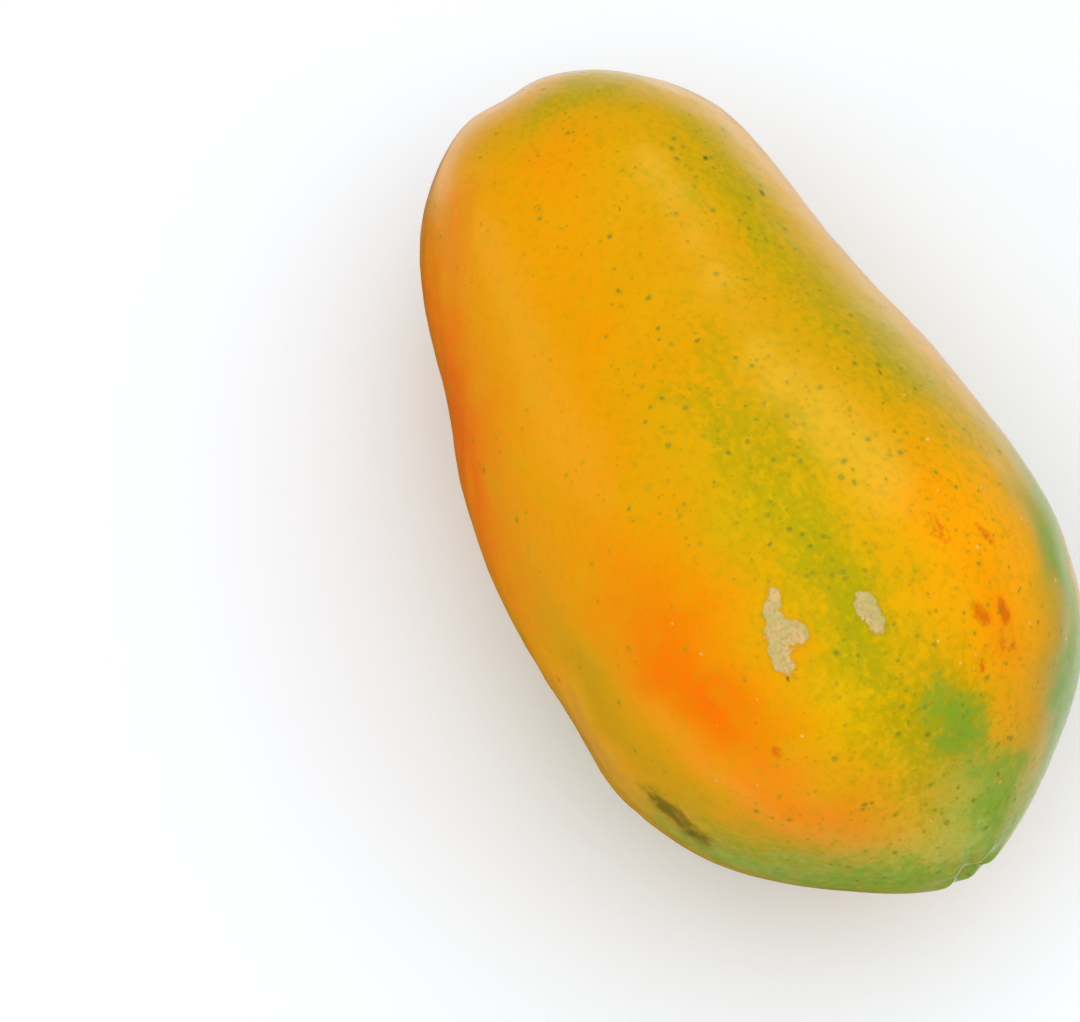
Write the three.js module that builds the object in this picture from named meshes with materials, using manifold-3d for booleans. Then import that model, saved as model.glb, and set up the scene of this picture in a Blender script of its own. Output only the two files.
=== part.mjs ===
// A ripe papaya lying on its side, with the cut stub of its stalk, in millimetres, +Z up.
// +X runs along the fruit from the stalk end to the blossom end. The origin is at the bottom of
// the fruit, in the middle of its length and width.
import * as THREE from "three";
import { mergeVertices } from "three/addons/utils/BufferGeometryUtils.js";
import Module from "manifold-3d";

// The core runs from the middle of the stalk end to the middle of the blossom end.
const CORE_LENGTH = 172.5;
// Nine stations, evenly spaced along the core from the stalk end to the blossom end.
// Girth is the skin's distance from the core before the ends are rounded off.
const GIRTH = [56.5, 49, 44, 44, 46.5, 49.5, 54, 53.5, 38];
// The core sways to +Y and rises to +Z by these distances from a straight line.
const SWAY = [1.5, 3, 1.5, -1, -1, 0, 0, 1, 1];
const RISE = [-3.5, -3, -2.5, -1.5, 0, 1.5, 2, 1, -4];
// Ribs stand out by these shares of the girth.
const RIB_SHARE = [0.03, 0.02, 0.01, 0.005, 0.004, 0.007, 0.015, 0.02, 0.04];
const RIBS = 5;
const RIB_CREST_DEG = 61; // one crest's place round the core, from +Y towards +Z
const HEIGHT_SHARE = 0.975; // the section is a little lower than it is wide

// The stalk end sinks in, with five low shoulders round it.
const STALK_DENT = 1.2;
const STALK_DENT_RADIUS = 7;
const SHOULDER_HEIGHT = 0.3;
const SHOULDER_RADIUS = 14;
const SHOULDER_WIDTH = 6;

// The blossom end has a small dimple, with five knobs round it.
const DIMPLE = 2.4;
const DIMPLE_RADIUS = 3.2;
const KNOB_HEIGHT = 0.3;
const KNOB_RADIUS = 4.5;
const KNOB_WIDTH = 2.5;

// The scar is a shallow pit with a flat floor, on which the stub of the stalk stands.
const PIT_FLOOR_RADIUS = 7;
const PIT_MOUTH_RADIUS = 9;
const PIT_FLOOR_DEPTH = 3.2; // below the middle of the dent
const PIT_MOUTH_RISE = 4; // from the floor up to the mouth
const STUB_RADIUS = 5.5;
const STUB_HEIGHT = 3;
const STUB_EDGE = 0.7;
const STUB_GAP = 0.3;

// At rest the blossom end is tipped up, and the lowest skin is pressed flat.
const REST_TILT_DEG = 3.5;
const FLAT_DEPTH = 0.7;

const AROUND = 80;
const ALONG = 48;
const CROWDING = 0.25; // draws the rings towards the two ends
const TURNED = 40;

// A smooth line through values at evenly spaced stations, read at 0 to 1 along the core.
function stationLine(values) {
  const points = values.map((value) => new THREE.Vector3(value, 0, 0));
  const curve = new THREE.CatmullRomCurve3(points, false, "catmullrom", 0.5);
  return (along) => curve.getPoint(along).x;
}

const girthAt = stationLine(GIRTH);
const swayAt = stationLine(SWAY);
const riseAt = stationLine(RISE);
const ribShareAt = stationLine(RIB_SHARE);

// A bell-shaped bump of height 1 at middle, as wide as width.
const bell = (distance, middle, width) =>
  Math.exp(-(((distance - middle) / width) ** 2));

// The skin's point for a direction: polar is 0 at the stalk end and pi at the blossom end, and
// around turns from +Y towards +Z.
function skinPoint(polar, around) {
  const station = -Math.cos(polar);
  const along = THREE.MathUtils.clamp((station + 1) / 2, 0, 1);
  const crest = Math.cos(RIBS * (around - THREE.MathUtils.degToRad(RIB_CREST_DEG)));
  const radius = girthAt(along) * Math.sin(polar) * (1 + ribShareAt(along) * crest);
  const wide = radius * Math.cos(around);
  const high = radius * Math.sin(around) * HEIGHT_SHARE;
  const out = Math.hypot(wide, high);
  const stalkDent =
    STALK_DENT * bell(out, 0, STALK_DENT_RADIUS) -
    SHOULDER_HEIGHT * crest * bell(out, SHOULDER_RADIUS, SHOULDER_WIDTH);
  const blossomDent =
    DIMPLE * bell(out, 0, DIMPLE_RADIUS) -
    KNOB_HEIGHT * crest * bell(out, KNOB_RADIUS, KNOB_WIDTH);
  const inward = station < 0 ? stalkDent : -blossomDent;
  return new THREE.Vector3(
    (CORE_LENGTH / 2) * station + inward,
    wide + swayAt(along),
    high + riseAt(along),
  );
}

// The whole skin in the fruit's own frame: a sphere whose poles are the two ends, reshaped.
function skinGeometry() {
  const geometry = new THREE.SphereGeometry(1, AROUND, ALONG).rotateZ(-Math.PI / 2);
  const place = geometry.getAttribute("position");
  for (let i = 0; i < place.count; i++) {
    const even = Math.acos(THREE.MathUtils.clamp(-place.getX(i), -1, 1));
    const polar = even - CROWDING * Math.sin(2 * even);
    const around = Math.atan2(place.getZ(i), place.getY(i));
    const point = skinPoint(polar, around);
    place.setXYZ(i, point.x, point.y, point.z);
  }
  return geometry;
}

const PIT_FLOOR_X = -CORE_LENGTH / 2 + STALK_DENT + PIT_FLOOR_DEPTH;

// A turned solid round the core at the stalk end, whose profile's height points out of the fruit.
function turnedAtStalk(profile) {
  const points = profile.map(([radius, height]) => new THREE.Vector2(radius, height));
  return new THREE.LatheGeometry(points, TURNED)
    .rotateZ(Math.PI / 2)
    .translate(PIT_FLOOR_X, SWAY[0], RISE[0]);
}

// What is cut out of the fruit at the scar. It reaches past the skin.
function pitGeometry() {
  return turnedAtStalk([
    [0, 0],
    [PIT_FLOOR_RADIUS, 0],
    [PIT_MOUTH_RADIUS, PIT_MOUTH_RISE],
    [PIT_MOUTH_RADIUS, STALK_DENT + PIT_MOUTH_RISE],
    [0, STALK_DENT + PIT_MOUTH_RISE],
  ]);
}

// The cut stalk: a short round stump with a worn edge and a slightly hollow cut face.
function stubGeometry() {
  const top = STUB_GAP + STUB_HEIGHT;
  return turnedAtStalk([
    [0, STUB_GAP],
    [STUB_RADIUS, STUB_GAP],
    [STUB_RADIUS, top - STUB_EDGE],
    [STUB_RADIUS - STUB_EDGE, top],
    [STUB_RADIUS / 2, top - STUB_EDGE / 2],
    [0, top - STUB_EDGE],
  ]);
}

// The slab below the surface that the fruit lies on.
function floorGeometry() {
  const side = 2 * CORE_LENGTH;
  return new THREE.BoxGeometry(side, side, side).translate(0, 0, -side / 2);
}

const wasm = await Module();
wasm.setup();

function solidOf(geometry) {
  const bare = geometry.clone();
  bare.deleteAttribute("normal");
  bare.deleteAttribute("uv");
  const merged = mergeVertices(bare, 1e-4);
  return new wasm.Manifold(
    new wasm.Mesh({
      numProp: 3,
      vertProperties: merged.getAttribute("position").array,
      triVerts: new Uint32Array(merged.index.array),
    }),
  );
}

function geometryOf(solid) {
  const mesh = solid.getMesh();
  const geometry = new THREE.BufferGeometry();
  geometry.setAttribute("position", new THREE.BufferAttribute(mesh.vertProperties, 3));
  geometry.setIndex(new THREE.BufferAttribute(mesh.triVerts, 1));
  geometry.computeVertexNormals();
  return geometry;
}

// The fruit's own frame, turned and moved so that the fruit lies on its side.
function lyingFrame(skin) {
  const frame = new THREE.Group();
  frame.rotation.y = -THREE.MathUtils.degToRad(REST_TILT_DEG);
  frame.updateMatrix();
  const turned = skin.clone().applyMatrix4(frame.matrix);
  const box = new THREE.Box3().setFromBufferAttribute(turned.getAttribute("position"));
  const middle = box.getCenter(new THREE.Vector3());
  frame.position.set(-middle.x, -middle.y, -(box.min.z + FLAT_DEPTH));
  frame.updateMatrix();
  return frame;
}

function namedMesh(name, geometry, colour, roughness) {
  const material = new THREE.MeshStandardMaterial({
    color: colour,
    roughness,
    metalness: 0,
  });
  const mesh = new THREE.Mesh(geometry, material);
  mesh.name = name;
  return mesh;
}

const skin = skinGeometry();
const lying = lyingFrame(skin);
const fruitSolid = solidOf(skin.applyMatrix4(lying.matrix))
  .subtract(solidOf(pitGeometry().applyMatrix4(lying.matrix)))
  .subtract(solidOf(floorGeometry()));

const papaya = new THREE.Group();
papaya.add(namedMesh("fruit", geometryOf(fruitSolid), 0xe59b10, 0.4));
lying.add(namedMesh("stalk_stub", stubGeometry(), 0xb7b06a, 0.85));
papaya.add(lying);

export default papaya;
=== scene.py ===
"""A ripe papaya lying on its side on a white table, in soft studio light."""
from collections import namedtuple
from math import cos, radians, sin

import bpy
import numpy as np
from mathutils import Matrix, Vector


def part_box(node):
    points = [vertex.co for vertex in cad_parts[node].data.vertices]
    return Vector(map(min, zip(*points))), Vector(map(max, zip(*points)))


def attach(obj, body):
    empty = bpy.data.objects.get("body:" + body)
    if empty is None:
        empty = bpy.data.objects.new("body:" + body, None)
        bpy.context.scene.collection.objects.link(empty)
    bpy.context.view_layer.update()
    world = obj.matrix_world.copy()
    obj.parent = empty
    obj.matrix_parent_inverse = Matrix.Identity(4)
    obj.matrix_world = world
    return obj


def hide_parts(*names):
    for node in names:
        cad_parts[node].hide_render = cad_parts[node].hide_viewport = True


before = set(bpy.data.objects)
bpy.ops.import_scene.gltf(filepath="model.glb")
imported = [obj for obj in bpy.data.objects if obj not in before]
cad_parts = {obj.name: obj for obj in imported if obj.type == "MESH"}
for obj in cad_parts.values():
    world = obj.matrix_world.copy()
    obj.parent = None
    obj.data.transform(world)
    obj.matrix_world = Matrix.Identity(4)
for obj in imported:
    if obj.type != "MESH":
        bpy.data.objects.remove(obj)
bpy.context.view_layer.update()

MM = 0.001

# The camera looks down on the fruit, whose blossom end points to the picture's lower right.
CAMERA_AZIMUTH = 60.4
CAMERA_ELEVATION = 76.0
CAMERA_DISTANCE = 1.0
CAMERA_AIM = Vector((-12.5, -33.2, 44.7)) * MM
CAMERA_LENS = 180.0
SENSOR_WIDTH = 36.0

# The fruit's form, in millimetres, with the same driving dimensions as the solid.
CORE_LENGTH = 172.5
GIRTH = (56.5, 49, 44, 44, 46.5, 49.5, 54, 53.5, 38)
SWAY = (1.5, 3, 1.5, -1, -1, 0, 0, 1, 1)
RISE = (-3.5, -3, -2.5, -1.5, 0, 1.5, 2, 1, -4)
RIB_SHARE = (0.03, 0.02, 0.01, 0.005, 0.004, 0.007, 0.015, 0.02, 0.04)
RIBS = 5
RIB_CREST_DEG = 61
HEIGHT_SHARE = 0.975
STALK_DENT = 1.2
STALK_DENT_RADIUS = 7
SHOULDER_HEIGHT = 0.3
SHOULDER_RADIUS = 14
SHOULDER_WIDTH = 6
DIMPLE = 2.4
DIMPLE_RADIUS = 3.2
KNOB_HEIGHT = 0.3
KNOB_RADIUS = 4.5
KNOB_WIDTH = 2.5
PIT_FLOOR_RADIUS = 7
PIT_MOUTH_RADIUS = 9
PIT_FLOOR_DEPTH = 3.2
STUB_RADIUS = 5.5
STUB_HEIGHT = 3
STUB_GAP = 0.3
REST_TILT_DEG = 3.5
FLAT_DEPTH = 0.7
PIT_FLOOR = -CORE_LENGTH / 2 + STALK_DENT + PIT_FLOOR_DEPTH

# Low relief and softer edges, in millimetres, which the solid leaves out.
SLOW_WAVE_HEIGHT = 0.22
SLOW_WAVE_LENGTH = 34
FINE_WAVE_HEIGHT = 0.05
FINE_WAVE_LENGTH = 7
LATEX_HEIGHT = 0.12
BRUISE_DEPTH = 0.12
FLAT_SOFTNESS = 0.25
PIT_MOUTH_INSET = 0.7

# Waves round a ring, each with its height, its number in the round and its phase in radians. The
# flutes' heights are shares of the stub's radius, and the others are in millimetres.
PIT_MOUTH_WAVES = ((0.35, 3, 1), (0.25, 7, 0), (0.15, 16, 2))
STUB_FLUTES = ((0.015, 9, 0), (0.03, 2, 0.6))
STUB_FACE_WAVES = ((0.12, 5, 1), (0.08, 11, 0))

# The stub's profile from its cut face to its foot: shares of its radius and of its height.
STUB_PROFILE = (
    (0, 0.78), (0.15, 0.8), (0.3, 0.84), (0.5, 0.86), (0.68, 0.88),
    (0.76, 0.95), (0.82, 1.0), (0.9, 0.97), (0.96, 0.88), (0.97, 0.7),
    (0.96, 0.4), (0.97, 0.1), (0.93, 0), (0.5, 0), (0, 0),
)

# The grids of the fine surfaces.
AROUND = 360
ALONG = 260
CROWDING = 0.25
STUB_AROUND = 96
STUB_ALONG = 60


def paint(red, green, blue):
    """A colour given as 0 to 255 on a screen, as linear light with alpha 1."""
    screen = np.array((red, green, blue)) / 255
    linear = np.where(screen <= 0.04045, screen / 12.92, ((screen + 0.055) / 1.055) ** 2.4)
    return (*(float(value) for value in linear), 1.0)


# Camera

def camera_frame():
    """The camera's right, up and backward directions for its azimuth and elevation."""
    azimuth, elevation = radians(CAMERA_AZIMUTH), radians(CAMERA_ELEVATION)
    right = Vector((cos(azimuth), sin(azimuth), 0))
    back = Vector((sin(azimuth) * cos(elevation), -cos(azimuth) * cos(elevation), sin(elevation)))
    return right, back.cross(right), back


def add_camera():
    data = bpy.data.cameras.new("camera")
    data.lens = CAMERA_LENS
    data.sensor_width = SENSOR_WIDTH
    data.clip_end = 50
    camera = bpy.data.objects.new("camera", data)
    right, up, back = camera_frame()
    turn = Matrix((right, up, back)).transposed().to_4x4()
    camera.matrix_world = Matrix.Translation(CAMERA_AIM + back * CAMERA_DISTANCE) @ turn
    bpy.context.scene.collection.objects.link(camera)
    bpy.context.scene.camera = camera


# Shapes

def station_line(values, along):
    """A Catmull-Rom line through evenly spaced values, read at 0 to 1: between two values it is the
    cubic whose slope at each is half the step from the value before it to the value after it."""
    values = np.asarray(values, float)
    first = 2 * values[0] - values[1]
    last = 2 * values[-1] - values[-2]
    held = np.concatenate([[first], values, [last]])
    place = np.clip(along, 0, 1) * (len(values) - 1)
    cell = np.minimum(place.astype(int), len(values) - 2)
    part = place - cell
    before, start, end, after = (held[cell + step] for step in range(4))
    slope_in, slope_out = (end - before) / 2, (after - start) / 2
    cubic = 2 * start - 2 * end + slope_in + slope_out
    square = 3 * end - 3 * start - 2 * slope_in - slope_out
    return ((cubic * part + square) * part + slope_in) * part + start


def bell(distance, middle, width):
    """A bump of height 1 at middle: e to the power of minus the square of distance over width."""
    return np.exp(-(((distance - middle) / width) ** 2))


def smooth(low, high, value):
    """0 up to low, 1 from high, and a cubic with level ends between them."""
    part = np.clip((value - low) / (high - low), 0, 1)
    return part * part * (3 - 2 * part)


def waves(points, length, seed, count=14):
    """Smooth noise of about -1 to 1 on points in millimetres: a sum of plane sine waves about length
    long, each with its own seeded direction and phase."""
    draw = np.random.default_rng(seed)
    total = np.zeros(points.shape[:-1])
    for _ in range(count):
        direction = draw.normal(size=3)
        direction *= 2 * np.pi / (length * draw.uniform(0.6, 1.6) * np.linalg.norm(direction))
        total += np.sin(points @ direction + draw.uniform(0, 2 * np.pi))
    return total / np.sqrt(count)


def ring_waves(turns, parts):
    """A sum of sine waves round a ring: height times the sine of number times turn plus phase."""
    return sum(height * np.sin(number * turns + phase) for height, number, phase in parts)


def skin_points(polar, around):
    """The skin in the fruit's own frame. Polar is 0 at the stalk end and pi at the blossom end. A
    point lies half the core's length times minus cos(polar) along the core, and girth times
    sin(polar) out from it, swelled by the ribs, which fade out at the very ends. Bells of the
    distance from the core sink the two ends, and the scar's pit is a level floor that the skin meets
    in a steep, uneven wall."""
    station = -np.cos(polar)
    along = (station + 1) / 2
    crest = np.cos(RIBS * (around - radians(RIB_CREST_DEG))) * smooth(0, 0.05, np.sin(polar))
    radius = station_line(GIRTH, along) * np.sin(polar)
    radius = radius * (1 + station_line(RIB_SHARE, along) * crest)
    wide = radius * np.cos(around)
    high = radius * np.sin(around) * HEIGHT_SHARE
    out = np.hypot(wide, high)
    shoulders = SHOULDER_HEIGHT * crest * bell(out, SHOULDER_RADIUS, SHOULDER_WIDTH)
    stalk_dent = STALK_DENT * bell(out, 0, STALK_DENT_RADIUS) - shoulders
    knobs = KNOB_HEIGHT * crest * bell(out, KNOB_RADIUS, KNOB_WIDTH)
    blossom_dent = DIMPLE * bell(out, 0, DIMPLE_RADIUS) - knobs
    core = CORE_LENGTH / 2 * station + np.where(station < 0, stalk_dent, -blossom_dent)
    mouth = PIT_MOUTH_RADIUS - PIT_MOUTH_INSET + ring_waves(around, PIT_MOUTH_WAVES)
    pit = 1 - smooth(PIT_FLOOR_RADIUS, mouth, out)
    core = np.where(station < 0, core + (PIT_FLOOR - core) * pit, core)
    sway, rise = station_line(SWAY, along), station_line(RISE, along)
    return np.stack([core, wide + sway, high + rise], axis=-1)


def tilted(points):
    """Points of the fruit's own frame, turned about Y so that the blossom end is up by the rest tilt."""
    tilt = radians(REST_TILT_DEG)
    turn = np.array([[cos(tilt), 0, -sin(tilt)], [0, 1, 0], [sin(tilt), 0, cos(tilt)]])
    return points @ turn.T


def outward(points):
    """Unit normals of a closed grid: the cross product of its steps down and across, turned out."""
    down = np.gradient(points, axis=0)
    wrapped = np.concatenate([points[:, -1:], points, points[:, :1]], axis=1)
    across = (wrapped[:, 2:] - wrapped[:, :-2]) / 2
    normal = np.cross(across, down)
    length = np.linalg.norm(normal, axis=-1, keepdims=True)
    return normal / np.maximum(length, 1e-9)


def in_point_order(rows):
    """The values of a closed grid in its mesh's order: the first row's one point, the inner rows and
    the last row's one point."""
    inner = rows[1:-1].reshape(-1, *rows.shape[2:])
    return np.concatenate([rows[:1, 0], inner, rows[-1:, 0]])


def closed_grid_mesh(name, rows):
    """A mesh from rows of points, in metres. Each row closes on itself, and the first and the last
    row are each one point, so the mesh has a pole at each end and no seam."""
    count, across = rows.shape[:2]
    points = in_point_order(rows)
    first = 1 + np.arange(across)
    step = np.roll(first, -1)
    levels = (np.arange(count - 3) * across)[:, None]
    near, far = first + levels, step + levels
    quads = np.stack([near, far, far + across, near + across], -1).reshape(-1, 4)
    foot = first + (count - 3) * across
    start_fan = np.stack([np.zeros_like(first), step, first], -1)
    end_fan = np.stack([foot, np.roll(foot, -1), np.full_like(foot, len(points) - 1)], -1)
    mesh = bpy.data.meshes.new(name)
    mesh.from_pydata(points, [], [*start_fan.tolist(), *quads.tolist(), *end_fan.tolist()])
    mesh.shade_smooth()
    return mesh


def add_field(mesh, name, rows):
    """A number for each point of a closed grid mesh, as an attribute that its material reads."""
    attribute = mesh.attributes.new(name, "FLOAT", "POINT")
    attribute.data.foreach_set("value", in_point_order(rows).astype(np.float32))


def add_colours(mesh, name, rows):
    """A colour for each point of a closed grid mesh, as an attribute that its material reads."""
    colours = in_point_order(rows)
    colours = np.concatenate([colours, np.ones((len(colours), 1))], axis=1)
    attribute = mesh.attributes.new(name, "FLOAT_COLOR", "POINT")
    attribute.data.foreach_set("color", colours.astype(np.float32).ravel())


def add_piece(name, mesh, cad_node, material):
    piece = bpy.data.objects.new(name, mesh)
    bpy.context.scene.collection.objects.link(piece)
    mesh.materials.append(material)
    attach(piece, "root")
    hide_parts(cad_node)
    return piece


# Colours on the skin. A patch lies along the core from its middle, in millimetres, and round it in
# degrees from +Y towards +Z. Its half length and half width are in millimetres on the skin, and its
# turn swings its length from the core towards greater angles.
Patch = namedtuple("Patch", "along around length width strength turn", defaults=(1.0, 0.0))
StainOrSheen = namedtuple("StainOrSheen", "colour patch")

GOLD = paint(230, 161, 4)
# Stains over the gold, and two painted highlights: peach sheens of the light from below, laid on as
# colour.
STAINS_AND_SHEENS = (
    StainOrSheen(paint(208, 170, 6), Patch(-30, 50, 52, 14, 0.9)),
    StainOrSheen(paint(196, 168, 12), Patch(-44, 53, 14, 5, 0.6)),
    StainOrSheen(paint(194, 168, 8), Patch(6, 38, 28, 9, 0.75)),
    StainOrSheen(paint(196, 172, 14), Patch(-72, 82, 7, 16, 0.7)),
    StainOrSheen(paint(222, 162, 6), Patch(-44, 78, 30, 14, 0.7)),
    StainOrSheen(paint(242, 150, 4), Patch(-62, 100, 10, 8, 0.7)),
    StainOrSheen(paint(236, 148, 2), Patch(-20, 110, 42, 13, 0.6)),
    StainOrSheen(paint(206, 164, 4), Patch(12, 104, 22, 9, 0.6)),
    StainOrSheen(paint(242, 118, 2), Patch(-34, 165, 34, 17, 0.95)),
    StainOrSheen(paint(248, 110, 0), Patch(-30, 164, 26, 9, 0.75)),
    StainOrSheen(paint(236, 130, 30), Patch(-62, 140, 9, 7, 0.7)),
    StainOrSheen(paint(240, 184, 110), Patch(-74, 150, 7, 9, 0.6)),
    StainOrSheen(paint(214, 172, 8), Patch(20, 74, 38, 8, 0.6)),
    StainOrSheen(paint(210, 175, 4), Patch(30, 93, 32, 10, 0.9)),
    StainOrSheen(paint(200, 176, 6), Patch(42, 92, 14, 8, 0.7)),
    StainOrSheen(paint(228, 188, 4), Patch(64, 102, 14, 14, 0.9)),
    StainOrSheen(paint(255, 172, 0), Patch(49, 51, 24, 16, 1.0)),
    StainOrSheen(paint(252, 140, 0), Patch(54, 57, 9, 6, 0.7)),
    StainOrSheen(paint(252, 158, 0), Patch(34, 62, 8, 5, 0.6)),
    StainOrSheen(paint(168, 174, 22), Patch(68, 82, 6, 5, 0.8)),
    StainOrSheen(paint(116, 152, 44), Patch(44, 26, 19, 8, 0.95)),
    StainOrSheen(paint(142, 172, 104), Patch(71, 14, 13, 11, 0.95)),
    StainOrSheen(paint(236, 138, 0), Patch(28, 132, 32, 14, 0.8)),
    StainOrSheen(paint(244, 108, 0), Patch(44, 129, 18, 9, 0.9)),
    StainOrSheen(paint(248, 136, 4), Patch(68, 136, 11, 11, 0.9)),
    # Painted highlight: a thin peach sheen of the light from the table and the front, laid on as colour.
    StainOrSheen(paint(250, 156, 40), Patch(58, 143, 18, 3, 0.6)),
    StainOrSheen(paint(196, 150, 6), Patch(34, 156, 26, 7, 0.85)),
    StainOrSheen(paint(180, 160, 16), Patch(66, 165, 12, 6, 0.8)),
    StainOrSheen(paint(164, 176, 88), Patch(68, 176, 18, 10.5, 0.95, -10)),
    StainOrSheen(paint(156, 172, 62), Patch(78, 68, 5, 9, 0.85)),
    # Painted highlight: a peach sheen near the lower rim, of the light from the table and the front,
    # laid on as colour.
    StainOrSheen(paint(222, 158, 60), Patch(33, 174, 11, 6, 0.75)),
    StainOrSheen(paint(175, 170, 25), Patch(20, 235, 45, 10, 0.8)),
    StainOrSheen(paint(240, 140, 4), Patch(-20, 275, 40, 20, 0.8)),
    StainOrSheen(paint(246, 130, 2), Patch(35, 278, 20, 12, 0.7)),
    StainOrSheen(paint(150, 165, 40), Patch(30, 322, 35, 12, 0.8)),
    StainOrSheen(paint(225, 178, 10), Patch(-30, 340, 35, 14, 0.7)),
)
# Caps round the blossom end, each with its reach from the core in millimetres.
BLOSSOM_CAPS = (
    (paint(192, 196, 72), 18),
    (paint(152, 184, 112), 12),
)

GREEN_BLOTCHES = (
    Patch(30, 92, 30, 12, 0.55),
    Patch(45, 90, 14, 8, 0.65),
    Patch(66, 96, 12, 12, 0.4),
    Patch(68, 81, 9, 7, 0.75),
    Patch(2, 88, 16, 9, 0.5),
    Patch(-34, 52, 44, 13, 0.5),
    Patch(12, 42, 28, 10, 0.5),
    Patch(62, 165, 22, 10, 0.6),
    Patch(36, 19, 36, 10, 0.65),
    Patch(-74, 78, 8, 16, 0.5),
    Patch(84, 200, 10, 20, 0.6),
    Patch(20, 235, 45, 10, 0.8),
    Patch(30, 322, 35, 12, 0.9),
)
DEEP_GREEN = (
    Patch(64.5, 83, 5, 3.6, 0.85),
    Patch(70, 80.5, 5, 4, 0.9),
    Patch(73, 72, 4, 3.4, 0.75),
    Patch(77, 60, 5, 3.6, 0.7),
    Patch(49, 21, 22, 6, 0.9),
    Patch(70, 8, 13, 9, 0.7),
    Patch(60, 182, 15, 7, 0.7),
    Patch(79, 172, 8, 12, 0.85),
    Patch(20, 235, 36, 8, 0.8),
    Patch(30, 322, 30, 10, 0.85),
)
SPECKLED = (
    Patch(-16, 54, 52, 18, 0.85),
    Patch(26, 92, 38, 18, 0.9),
    Patch(20, 64, 34, 16, 0.6),
    Patch(68, 84, 16, 18, 0.8),
    Patch(-60, 90, 16, 26, 0.3),
    Patch(47, 22, 20, 8, 0.5),
    Patch(76, 150, 12, 30, 0.5),
    Patch(80, 240, 10, 26, 0.4),
    Patch(20, 235, 45, 14, 0.8),
    Patch(30, 322, 40, 16, 0.8),
    Patch(-30, 350, 30, 16, 0.6),
)
PALE_DOTTED = (
    Patch(48, 52, 22, 14, 1.0),
    Patch(45, 128, 22, 14, 0.2),
    Patch(30, 280, 30, 20, 0.6),
)
BRUISES = (
    Patch(53.6, 64.2, 2.2, 1.5, 0.75),
    Patch(55.2, 62.4, 1.3, 1.2),
    Patch(54.4, 56.6, 1.9, 1.1),
    Patch(56.2, 56.0, 1.3, 1.3, 0.9),
    Patch(60.4, 59.2, 1.6, 1.3, 0.65),
    Patch(60.6, 55.4, 1.0, 1.1, 0.7),
    Patch(42, 53.6, 3.4, 1.0, 0.8, -30),
    Patch(37.6, 64.0, 3.6, 0.6, 0.8, -20),
    Patch(39.6, 65.4, 3.2, 0.7, 0.75, -28),
    Patch(62, 67, 0.9, 0.8),
    Patch(57, 125, 1.2, 0.9, 1.0, 30),
    Patch(-66, 100.5, 2.6, 0.6, 0.5, 6),
    Patch(-21, 157, 1.0, 0.7, 0.8),
    Patch(20, 170, 0.9, 0.8, 0.9),
)
DARK_SPOTS = (
    Patch(-38, 43.5, 1.0, 0.8),
    Patch(-48.5, 55.5, 0.9, 0.7),
    Patch(6, 53, 0.7, 0.6, 0.8),
    Patch(48.4, 111, 0.6, 0.5, 0.8),
    Patch(44.8, 106.6, 0.5, 0.5, 0.8),
)
OLIVE_STREAK = (
    Patch(51, 168, 5.5, 4.0, 0.9, 8),
    Patch(57, 173, 4.0, 3.5, 0.8, 12),
)
LATEX_SCARS = (
    Patch(35.0, 103.0, 1.9, 1.1),
    Patch(37.4, 105.6, 2.6, 1.5),
    Patch(41.0, 107.0, 3.0, 2.3),
    Patch(42.6, 103.4, 2.3, 2.3),
    Patch(45.2, 109.8, 3.3, 1.9),
    Patch(44.3, 87.4, 2.7, 2.2),
    Patch(47.2, 87.4, 2.9, 1.8),
)


def patch_cover(patch, along, around, radius):
    """How much a patch covers each point: a bell over the point's distance along and across the
    patch, as shares of its half length and half width, times its strength."""
    turn = radians(patch.turn)
    ahead = along - patch.along
    aside = (np.mod(around - radians(patch.around) + np.pi, 2 * np.pi) - np.pi) * radius
    lengthways = (ahead * cos(turn) + aside * sin(turn)) / patch.length
    crossways = (aside * cos(turn) - ahead * sin(turn)) / patch.width
    return patch.strength * np.exp(-(lengthways**2 + crossways**2))


def cover_of(patches, along, around, radius):
    """The cover of several patches together: 1 less the product of what each leaves bare."""
    bare = np.ones_like(along)
    for patch in patches:
        bare *= 1 - np.clip(patch_cover(patch, along, around, radius), 0, 1)
    return 1 - bare


def skin_colours(along, around, radius):
    """The broad colours of the skin: gold, with the stains and the painted highlights (two peach sheens)
    laid over it, each by its patch's cover, and a cap round the blossom end, grey-green in the middle
    and yellow-green round that. A cap's cover is a bell of the distance from the core."""
    colours = np.broadcast_to(np.array(GOLD[:3]), (*along.shape, 3)).copy()
    for stain_or_sheen in STAINS_AND_SHEENS:
        cover = patch_cover(stain_or_sheen.patch, along, around, radius)[..., None]
        colours += (np.array(stain_or_sheen.colour[:3]) - colours) * cover
    for colour, reach in BLOSSOM_CAPS:
        cover = np.where(along > 0, bell(radius, 0, reach), 0)[..., None]
        colours += (np.array(colour[:3]) - colours) * cover
    return colours


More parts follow.
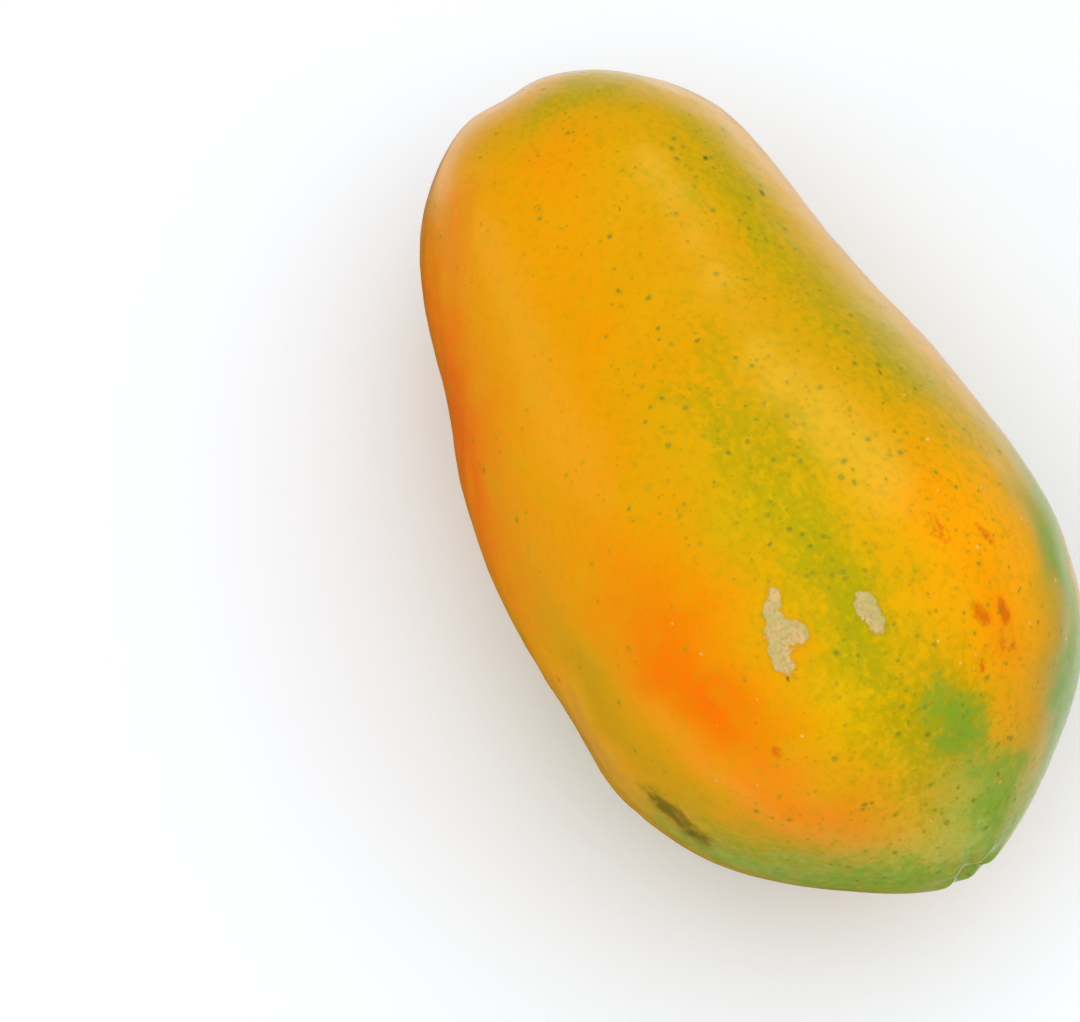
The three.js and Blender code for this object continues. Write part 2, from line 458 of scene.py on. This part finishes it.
def fitted(points, cad_node):
    """Points in millimetres, centred over the origin with their lowest skin pressed flat, then scaled
    and moved by a hair so that they fill the box of the CAD node, in metres. To press it flat, a
    height becomes half the sum of itself and the root of its square plus the softness squared."""
    low, high = points.min(axis=(0, 1)), points.max(axis=(0, 1))
    points = points - np.array([(low[0] + high[0]) / 2, (low[1] + high[1]) / 2, low[2] + FLAT_DEPTH])
    height = points[..., 2]
    flat = (height + np.sqrt(height**2 + FLAT_SOFTNESS**2)) / 2
    points = np.concatenate([points[..., :2], flat[..., None]], axis=-1) * MM
    box_low, box_high = (np.array(corner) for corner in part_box(cad_node))
    low, high = points.min(axis=(0, 1)), points.max(axis=(0, 1))
    share = (box_high - box_low) / (high - low)
    share[2] = box_high[2] / high[2]
    middle = np.array([(box_low[0] + box_high[0]) / 2, 0, 0])
    return points * share + middle


def skin_relief(points, radius, scars, bruises):
    """How far the skin is raised, in millimetres: by slow and by fine waves, which fade out towards
    the ends, and by the dried latex, less the shallow dents of the bruises."""
    away = smooth(10, 30, radius)
    slow = SLOW_WAVE_HEIGHT * waves(points, SLOW_WAVE_LENGTH, seed=21) * away
    fine = FINE_WAVE_HEIGHT * waves(points, FINE_WAVE_LENGTH, seed=22) * away
    marks = LATEX_HEIGHT * smooth(0.4, 0.6, scars) - BRUISE_DEPTH * smooth(0.3, 0.8, bruises)
    return slow + fine + marks


def add_ripeness(mesh, points, along, around, radius):
    """The skin's broad colours and green blotches. Smooth noise moves every place along the fruit and
    round it by a few millimetres, so that their edges wander. Near the ends, where a turn is short,
    the noise counts as if the skin were 12 mm from the core."""
    drift = 2.5 * waves(points, 26, seed=11) + 1.0 * waves(points, 9, seed=12)
    swing = 2.2 * waves(points, 24, seed=13) + 0.9 * waves(points, 8, seed=14)
    along = along + drift
    around = around + swing / np.maximum(radius, 12)
    add_colours(mesh, "ripeness", skin_colours(along, around, radius))
    add_field(mesh, "green", cover_of(GREEN_BLOTCHES, along, around, radius))
    add_field(mesh, "deep_green", cover_of(DEEP_GREEN, along, around, radius))
    add_field(mesh, "speckled", cover_of(SPECKLED, along, around, radius))


def add_marks(mesh, along, around, radius, scars, bruises):
    """The fields of the small marks, whose places are exact, and of the scar's pit."""
    add_field(mesh, "dotted", cover_of(PALE_DOTTED, along, around, radius))
    add_field(mesh, "bruised", bruises)
    add_field(mesh, "dark_spot", cover_of(DARK_SPOTS, along, around, radius))
    add_field(mesh, "olive", cover_of(OLIVE_STREAK, along, around, radius))
    add_field(mesh, "latex", scars)
    pit = 1 - smooth(PIT_FLOOR_RADIUS + 1, PIT_MOUTH_RADIUS + 1, radius)
    add_field(mesh, "pit", np.where(along < 0, pit, 0))


def fruit_piece(material):
    """The whole fruit: the skin's points on a grid whose rings crowd towards the ends, raised along
    their normals by the skin's relief."""
    even = np.linspace(0, np.pi, ALONG + 1)
    rings = even - CROWDING * np.sin(2 * even)
    turns = np.linspace(0, 2 * np.pi, AROUND, endpoint=False)
    polar, around = np.meshgrid(rings, turns, indexing="ij")
    points = skin_points(polar, around)
    along = -np.cos(polar) * CORE_LENGTH / 2
    radius = station_line(GIRTH, (1 - np.cos(polar)) / 2) * np.sin(polar)
    scars = cover_of(LATEX_SCARS, along, around, radius)
    bruises = cover_of(BRUISES, along, around, radius)
    raised = points + outward(points) * skin_relief(points, radius, scars, bruises)[..., None]
    mesh = closed_grid_mesh("papaya_skin", fitted(tilted(raised), "fruit"))
    add_ripeness(mesh, points, along, around, radius)
    add_marks(mesh, along, around, radius, scars, bruises)
    return add_piece("papaya_skin", mesh, "fruit", material)


# Materials

def node(tree, kind, inputs=(), **settings):
    """A shader node. Inputs name its sockets, and give each a value or a socket to link from."""
    made = tree.nodes.new("ShaderNode" + kind)
    for name, value in settings.items():
        setattr(made, name, value)
    for name, value in dict(inputs).items():
        if isinstance(value, bpy.types.NodeSocket):
            tree.links.new(value, made.inputs[name])
        else:
            made.inputs[name].default_value = value
    return made


def reckon(tree, operation, first, second=0.0, third=0.0, clamp=False):
    made = node(tree, "Math", {0: first, 1: second, 2: third}, operation=operation, use_clamp=clamp)
    return made.outputs[0]


def ramp(tree, value, low, high):
    """0 up to low, 1 from high, and a smooth step between them. Where low is the greater, it falls
    from 1 to 0 instead."""
    inputs = {"Value": value, "From Min": low, "From Max": high}
    return node(tree, "MapRange", inputs, interpolation_type="SMOOTHSTEP").outputs["Result"]


def blend(tree, share, under, over):
    return node(tree, "Mix", {0: share, 6: under, 7: over}, data_type="RGBA").outputs[2]


def field(tree, name):
    return node(tree, "Attribute", attribute_name=name).outputs["Fac"]


def new_group(name, inputs, outputs):
    """An empty node group. Inputs are (name, kind, value) and outputs are (name, kind)."""
    tree = bpy.data.node_groups.new(name, "ShaderNodeTree")
    for socket_name, kind, value in inputs:
        socket = tree.interface.new_socket(socket_name, in_out="INPUT", socket_type="NodeSocket" + kind)
        if value is not None:
            socket.default_value = value
    for socket_name, kind in outputs:
        tree.interface.new_socket(socket_name, in_out="OUTPUT", socket_type="NodeSocket" + kind)
    return tree, tree.nodes.new("NodeGroupInput").outputs, tree.nodes.new("NodeGroupOutput").inputs


def use_group(tree, group, inputs):
    return node(tree, "Group", inputs, node_tree=group).outputs


def ragged_edge_group():
    """Gives a soft field an uneven edge: noise is added to the field, and the sum is cut at a half."""
    inputs = (
        ("Field", "Float", 0.0),
        ("Vector", "Vector", None),
        ("Scale", "Float", 500.0),
        ("Raggedness", "Float", 0.5),
        ("Edge", "Float", 0.1),
    )
    tree, given, result = new_group("ragged edge", inputs, [("Mask", "Float")])
    noise = node(tree, "TexNoise", {"Vector": given["Vector"], "Scale": given["Scale"], "Detail": 5.0})
    centred = reckon(tree, "SUBTRACT", noise.outputs["Fac"], 0.5)
    shift = reckon(tree, "MULTIPLY", centred, given["Raggedness"])
    uneven = reckon(tree, "ADD", given["Field"], shift)
    low = reckon(tree, "SUBTRACT", 0.5, given["Edge"])
    high = reckon(tree, "ADD", 0.5, given["Edge"])
    tree.links.new(ramp(tree, uneven, low, high), result["Mask"])
    return tree


def specks_group():
    """Small round specks, one to a cell. A cell's speck shows where its random number is below the
    amount, and it reaches a random share, 0.4 to 1, of the size from the cell's point. The halo fades
    out at the spread times that reach, and the heart is the middle of about a third of the specks."""
    inputs = (
        ("Vector", "Vector", None),
        ("Scale", "Float", 500.0),
        ("Size", "Float", 0.3),
        ("Spread", "Float", 3.0),
        ("Amount", "Float", 0.5),
    )
    outputs = (("Speck", "Float"), ("Halo", "Float"), ("Heart", "Float"))
    tree, given, result = new_group("skin specks", inputs, outputs)
    warp = node(tree, "TexNoise", {"Vector": given["Vector"], "Scale": 1800.0, "Detail": 2.0})
    bend = node(tree, "VectorMath", {0: warp.outputs["Color"], 1: (0.0006,) * 3}, operation="MULTIPLY")
    bent = node(tree, "VectorMath", {0: given["Vector"], 1: bend.outputs[0]}, operation="ADD")
    cells = node(tree, "TexVoronoi", {"Vector": bent.outputs[0], "Scale": given["Scale"]})
    draw = node(tree, "SeparateColor", {"Color": cells.outputs["Color"]})
    shown = reckon(tree, "LESS_THAN", draw.outputs["Red"], given["Amount"])
    share = reckon(tree, "MULTIPLY_ADD", draw.outputs["Green"], 0.6, third=0.4)
    reach = reckon(tree, "MULTIPLY", share, given["Size"])
    hearty = reckon(tree, "GREATER_THAN", draw.outputs["Blue"], 0.65)
    distance = cells.outputs["Distance"]

    def within(outer, inner):
        return reckon(tree, "MULTIPLY", ramp(tree, distance, outer, inner), shown)

    tree.links.new(within(reach, reckon(tree, "MULTIPLY", reach, 0.15)), result["Speck"])
    tree.links.new(within(reckon(tree, "MULTIPLY", reach, given["Spread"]), 0.0), result["Halo"])
    heart = within(reckon(tree, "MULTIPLY", reach, 0.4), reckon(tree, "MULTIPLY", reach, 0.1))
    tree.links.new(reckon(tree, "MULTIPLY", heart, hearty), result["Heart"])
    return tree


def new_material(name):
    material = bpy.data.materials.new(name)
    material.use_nodes = True
    tree = material.node_tree
    tree.nodes.clear()
    shader = tree.nodes.new("ShaderNodeBsdfPrincipled")
    output = tree.nodes.new("ShaderNodeOutputMaterial")
    tree.links.new(shader.outputs["BSDF"], output.inputs["Surface"])
    return material, tree, shader


class SkinColours:
    """The skin's node tree, with what its layers share: the places, the two node groups, and the
    colour laid so far, which starts as the broad ripeness colours."""

    def __init__(self, tree, ragged_edge, specks):
        self.tree = tree
        self.ragged_edge = ragged_edge
        self.specks = specks
        self.place = node(tree, "TexCoord").outputs["Object"]
        self.colour = node(tree, "Attribute", attribute_name="ripeness").outputs["Color"]

    def noise(self, scale, detail=3.0):
        inputs = {"Vector": self.place, "Scale": scale, "Detail": detail}
        return node(self.tree, "TexNoise", inputs).outputs["Fac"]

    def part(self, share, amount):
        return reckon(self.tree, "MULTIPLY", share, amount)

    def patchy(self, name, scale, raggedness, edge, lift=0.0, where=None):
        """The mask of a field of the mesh, lifted by a little, with its edge made uneven."""
        inputs = {
            "Field": reckon(self.tree, "ADD", field(self.tree, name), lift),
            "Vector": where or self.place,
            "Scale": scale,
            "Raggedness": raggedness,
            "Edge": edge,
        }
        return use_group(self.tree, self.ragged_edge, inputs)["Mask"]

    def dotted(self, scale, size, spread, amount):
        inputs = {"Vector": self.place, "Scale": scale, "Size": size, "Spread": spread, "Amount": amount}
        return use_group(self.tree, self.specks, inputs)

    def lay(self, mask, most, colour):
        """A colour over those laid so far. It covers the share called most where the mask is 1."""
        self.colour = blend(self.tree, self.part(mask, most), self.colour, colour)


def lay_ripe_clouds(skin):
    """Warm and pale clouds, and a fine grain that is stronger where the skin is speckled."""
    skin.lay(ramp(skin.tree, skin.noise(70.0, 4.0), 0.5, 0.72), 0.2, paint(246, 146, 0))
    skin.lay(ramp(skin.tree, skin.noise(160.0, 5.0), 0.48, 0.7), 0.18, paint(206, 174, 10))
    grain = ramp(skin.tree, skin.noise(640.0, 6.0), 0.48, 0.68)
    most = reckon(skin.tree, "MULTIPLY_ADD", field(skin.tree, "speckled"), 0.24, third=0.16)
    skin.lay(grain, most, paint(184, 146, 4))


def lay_green(skin):
    """Unripe green: clouds and mottles a little drawn out along the fruit, and deep green cores. The
    olive streak lies over them."""
    stretch = {0: skin.place, 1: (0.7, 1.0, 1.0)}
    drawn_out = node(skin.tree, "VectorMath", stretch, operation="MULTIPLY").outputs[0]
    clouds = skin.patchy("green", 330.0, 2.2, 0.24, where=drawn_out)
    skin.lay(clouds, 0.38, paint(182, 160, 4))
    mottles = skin.patchy("green", 800.0, 2.6, 0.22, where=drawn_out)
    skin.lay(skin.part(mottles, field(skin.tree, "green")), 0.62, paint(142, 152, 12))
    deep = skin.patchy("deep_green", 420.0, 2.6, 0.6)
    core = ramp(skin.tree, field(skin.tree, "deep_green"), 0.1, 0.4)
    skin.lay(skin.part(deep, core), 0.64, paint(112, 168, 50))
    skin.lay(skin.patchy("olive", 500.0, 1.0, 0.4), 0.9, paint(112, 96, 20))


def lay_lenticels(skin):
    """Dark lenticels in green halos, some with a pale heart, and tiny ones between them, which crowd
    together where the skin is speckled. Returns the outputs of the larger ones."""
    crowd = ramp(skin.tree, skin.noise(190.0, 2.0), 0.36, 0.6)
    crowded = skin.part(field(skin.tree, "speckled"), crowd)
    amount = reckon(skin.tree, "MULTIPLY_ADD", crowded, 0.85, third=0.02)
    lenticels = skin.dotted(480.0, 0.42, 1.8, amount)
    skin.lay(lenticels["Halo"], 0.35, paint(150, 154, 24))
    skin.lay(lenticels["Speck"], 0.6, paint(98, 112, 36))
    skin.lay(lenticels["Heart"], 0.4, paint(196, 190, 110))
    tiny = skin.dotted(760.0, 0.5, 1.8, amount)
    skin.lay(tiny["Speck"], 0.4, paint(118, 126, 30))
    return lenticels


def lay_small_marks(skin):
    """Brown flecks all over, pale dots in orange halos on the ripest skin, bruises and dark spots."""
    flecks = skin.dotted(420.0, 0.26, 1.8, 0.1)
    skin.lay(flecks["Speck"], 0.4, paint(160, 104, 16))
    dots = skin.dotted(420.0, 0.27, 1.7, skin.part(field(skin.tree, "dotted"), 0.75))
    skin.lay(dots["Halo"], 0.35, paint(222, 130, 0))
    skin.lay(dots["Speck"], 0.75, paint(255, 206, 120))
    skin.lay(skin.patchy("bruised", 1100.0, 0.9, 0.32), 0.75, paint(212, 92, 8))
    skin.lay(skin.patchy("dark_spot", 1500.0, 0.5, 0.2), 0.8, paint(84, 84, 30))


def lay_latex(skin):
    """Dried latex: flaky beige with pinkish patches and darker grit, in a thin brown outline.
    Returns its mask."""
    outline = skin.patchy("latex", 900.0, 0.8, 0.1, lift=0.14)
    skin.lay(outline, 0.25, paint(140, 110, 20))
    latex = skin.patchy("latex", 900.0, 0.8, 0.08)
    pinkish = ramp(skin.tree, skin.noise(260.0), 0.4, 0.62)
    dry = blend(skin.tree, pinkish, paint(190, 180, 118), paint(218, 182, 130))
    clean = ramp(skin.tree, skin.noise(1500.0), 0.3, 0.6)
    dry = blend(skin.tree, clean, paint(184, 162, 102), dry)
    skin.lay(latex, 0.9, dry)
    return latex


def lay_pit(skin):
    """The scar's pit: dark skin with pale cork. Returns its mask."""
    pit = skin.patchy("pit", 700.0, 1.3, 0.14)
    cork = ramp(skin.tree, skin.noise(420.0, 6.0), 0.36, 0.62)
    skin.lay(pit, 1.0, blend(skin.tree, cork, paint(50, 40, 38), paint(146, 120, 88)))
    return pit


def skin_material(ragged_edge, specks):
    """Waxy skin in its layers of colour. It is duller on the latex and in the pit, and its fine bumps
    stand out on the latex and sink at the lenticels."""
    material, tree, shader = new_material("papaya skin")
    skin = SkinColours(tree, ragged_edge, specks)
    lay_ripe_clouds(skin)
    lay_green(skin)
    lenticels = lay_lenticels(skin)
    lay_small_marks(skin)
    latex = lay_latex(skin)
    pit = lay_pit(skin)
    tree.links.new(skin.colour, shader.inputs["Base Color"])

    rough = reckon(tree, "MULTIPLY_ADD", skin.noise(300.0), 0.1, third=0.19)
    rough = reckon(tree, "ADD", rough, skin.part(latex, 0.3))
    rough = reckon(tree, "ADD", rough, skin.part(pit, 0.45), clamp=True)
    tree.links.new(rough, shader.inputs["Roughness"])
    pores = skin.part(skin.noise(2600.0, 2.0), 0.2)
    ripples = skin.part(skin.noise(500.0), 0.6)
    fine = reckon(tree, "ADD", pores, ripples)
    fine = reckon(tree, "SUBTRACT", fine, skin.part(lenticels["Speck"], 0.3))
    fine = reckon(tree, "ADD", fine, skin.part(latex, 0.5))
    bump = node(tree, "Bump", {"Height": fine, "Strength": 0.25, "Distance": 0.0002})
    tree.links.new(bump.outputs["Normal"], shader.inputs["Normal"])
    shader.inputs["Specular IOR Level"].default_value = 0.12
    shader.inputs["Specular Tint"].default_value = (1, 0.85, 0.2, 1)
    return material


def stalk_material():
    """Dry cut stalk: green-brown bark round a pale, fibrous face."""
    material, tree, shader = new_material("cut stalk")
    place = node(tree, "TexCoord").outputs["Object"]
    grain = node(tree, "TexNoise", {"Vector": place, "Scale": 900.0, "Detail": 5.0}).outputs["Fac"]
    pith = blend(tree, ramp(tree, grain, 0.36, 0.62), paint(176, 134, 78), paint(222, 204, 154))
    bark = blend(tree, grain, paint(96, 100, 34), paint(164, 170, 84))
    colour = blend(tree, field(tree, "bark"), pith, bark)
    tree.links.new(colour, shader.inputs["Base Color"])
    bump = node(tree, "Bump", {"Height": grain, "Strength": 0.5, "Distance": 0.0003})
    tree.links.new(bump.outputs["Normal"], shader.inputs["Normal"])
    shader.inputs["Roughness"].default_value = 0.85
    shader.inputs["Specular IOR Level"].default_value = 0.2
    return material


def stub_points(share, height):
    """The cut stalk in the fruit's own frame, from its profile's shares of the radius and the height.
    The profile is turned round the core, and drawn in by its flutes so that it stays within the
    radius. Low waves make the rim of its cut face uneven."""
    turns = np.linspace(0, 2 * np.pi, STUB_AROUND, endpoint=False)[None, :]
    deepest = sum(flute[0] for flute in STUB_FLUTES)
    out = STUB_RADIUS * np.clip(share, 0, 1) * (1 - deepest + ring_waves(turns, STUB_FLUTES))
    face = smooth(0.7, 0.95, height) * smooth(0, 0.4, share)
    rise = STUB_HEIGHT * np.clip(height, 0, 1) + ring_waves(turns, STUB_FACE_WAVES) * face
    core = PIT_FLOOR - STUB_GAP - np.clip(rise, 0, STUB_HEIGHT)
    core, out = np.broadcast_arrays(core, out)
    return np.stack([core, out * np.cos(turns) + SWAY[0], out * np.sin(turns) + RISE[0]], axis=-1)


def stub_piece(material):
    """The cut stalk, moved to the middle of the box of its CAD node, with bark round its pith."""
    profile = np.array(STUB_PROFILE)
    steps = np.linspace(0, 1, STUB_ALONG)
    share = station_line(profile[:, 0], steps)[:, None]
    height = station_line(profile[:, 1], steps)[:, None]
    points = tilted(stub_points(share, height)) * MM
    box_low, box_high = (np.array(corner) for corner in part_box("stalk_stub"))
    low, high = points.min(axis=(0, 1)), points.max(axis=(0, 1))
    rows = points - (low + high) / 2 + (box_low + box_high) / 2
    mesh = closed_grid_mesh("stalk_stub_cut", rows)
    add_field(mesh, "bark", np.broadcast_to(smooth(0.72, 0.86, share), rows.shape[:2]))
    return add_piece("stalk_stub_cut", mesh, "stalk_stub", material)


# Studio

FRUIT_MIDDLE = Vector((0, 0, 0.045))
TABLE_REACH = 6.0


def add_floor():
    """A wide white table. Highlights don't see it: the world's lower half stands in for it there."""
    reach = TABLE_REACH
    corners = [(-reach, -reach, 0), (reach, -reach, 0), (reach, reach, 0), (-reach, reach, 0)]
    mesh = bpy.data.meshes.new("table")
    mesh.from_pydata(corners, [], [(0, 1, 2, 3)])
    material, _, shader = new_material("white table")
    shader.inputs["Base Color"].default_value = (0.9, 0.95, 1.0, 1)
    shader.inputs["Roughness"].default_value = 0.3
    shader.inputs["Specular IOR Level"].default_value = 0.35
    mesh.materials.append(material)
    floor = bpy.data.objects.new("table", mesh)
    bpy.context.scene.collection.objects.link(floor)
    floor.visible_glossy = False


def add_softbox(name, toward, distance, size, power, mirrored):
    """A square light, so many metres from the fruit's middle. Toward is its direction as shares of
    the camera's right, up and back. A mirrored one gives only a highlight, and the others give only
    even light."""
    right, up, back = camera_frame()
    direction = (right * toward[0] + up * toward[1] + back * toward[2]).normalized()
    data = bpy.data.lights.new(name, "AREA")
    data.shape = "SQUARE"
    data.size = size
    data.energy = power
    light = bpy.data.objects.new(name, data)
    light.location = FRUIT_MIDDLE + direction * distance
    light.rotation_euler = direction.to_track_quat("Z", "Y").to_euler()
    light.visible_glossy = mirrored
    light.visible_diffuse = not mirrored
    bpy.context.scene.collection.objects.link(light)


def table_glow(tree, direction, shade, table):
    """The light that highlights see in place of the table. It is as bright as table in directions
    that lead on from the camera past the fruit, to its far side or, a little less, to its right. In
    all others it is as dark as shade."""
    right, up, back = camera_frame()

    def along(axis):
        inputs = {0: direction, 1: tuple(axis)}
        return node(tree, "VectorMath", inputs, operation="DOT_PRODUCT").outputs["Value"]

    right_side = reckon(tree, "MULTIPLY", ramp(tree, along(right), 0.0, 0.3), 0.8)
    far_side = ramp(tree, along(up), 0.1, 0.35)
    open_side = reckon(tree, "MAXIMUM", right_side, far_side)
    onward = ramp(tree, along(0.25 * up - back), 0.45, 0.85)
    lit = reckon(tree, "MULTIPLY", open_side, onward)
    return reckon(tree, "MULTIPLY_ADD", lit, table - shade, third=shade)


def add_world(ceiling, walls, shade, table):
    """A room with a dark ceiling and lighter walls, the table's glow below them, and plain white for
    the camera itself."""
    world = bpy.data.worlds.new("studio")
    world.use_nodes = True
    tree = world.node_tree
    tree.nodes.clear()
    direction = node(tree, "TexCoord").outputs["Generated"]
    height = node(tree, "SeparateXYZ", {0: direction}).outputs["Z"]
    low = ramp(tree, height, 0.8, 0.35)
    above = reckon(tree, "MULTIPLY_ADD", low, walls - ceiling, third=ceiling)
    below = table_glow(tree, direction, shade, table)
    under = ramp(tree, height, 0.0, -0.05)
    step = reckon(tree, "SUBTRACT", below, above)
    level = reckon(tree, "MULTIPLY_ADD", step, under, third=above)
    room = node(tree, "Background", {"Color": (1, 1, 1, 1), "Strength": level})
    backdrop = node(tree, "Background", {"Color": (1, 1, 1, 1), "Strength": 1.0})
    direct = node(tree, "LightPath").outputs["Is Camera Ray"]
    seen = node(tree, "MixShader", {0: direct, 1: room.outputs[0], 2: backdrop.outputs[0]})
    output = tree.nodes.new("ShaderNodeOutputWorld")
    tree.links.new(seen.outputs[0], output.inputs["Surface"])
    bpy.context.scene.world = world


def add_studio():
    scene = bpy.context.scene
    scene.view_settings.view_transform = "Standard"
    add_world(ceiling=0.05, walls=0.2, shade=0.03, table=1.4)
    add_floor()
    add_softbox("overhead softbox", (0.2, 0.35, 0.92), 2.0, 5.0, 112, mirrored=False)
    add_softbox("left fill", (-0.8, -0.5, 0.4), 1.5, 2.0, 15, mirrored=False)
    add_softbox("window softbox", (0.30, 0.83, 0.44), 1.0, 0.42, 3.6, mirrored=True)
    add_softbox("left softbox", (-0.93, 0.3, 0.2), 1.0, 0.4, 1.1, mirrored=True)
    add_softbox("front softbox", (-0.1, -0.9, 0.3), 1.0, 0.6, 1.8, mirrored=True)


add_camera()
edges = ragged_edge_group()
dots = specks_group()
fruit_piece(skin_material(edges, dots))
stub_piece(stalk_material())
add_studio()
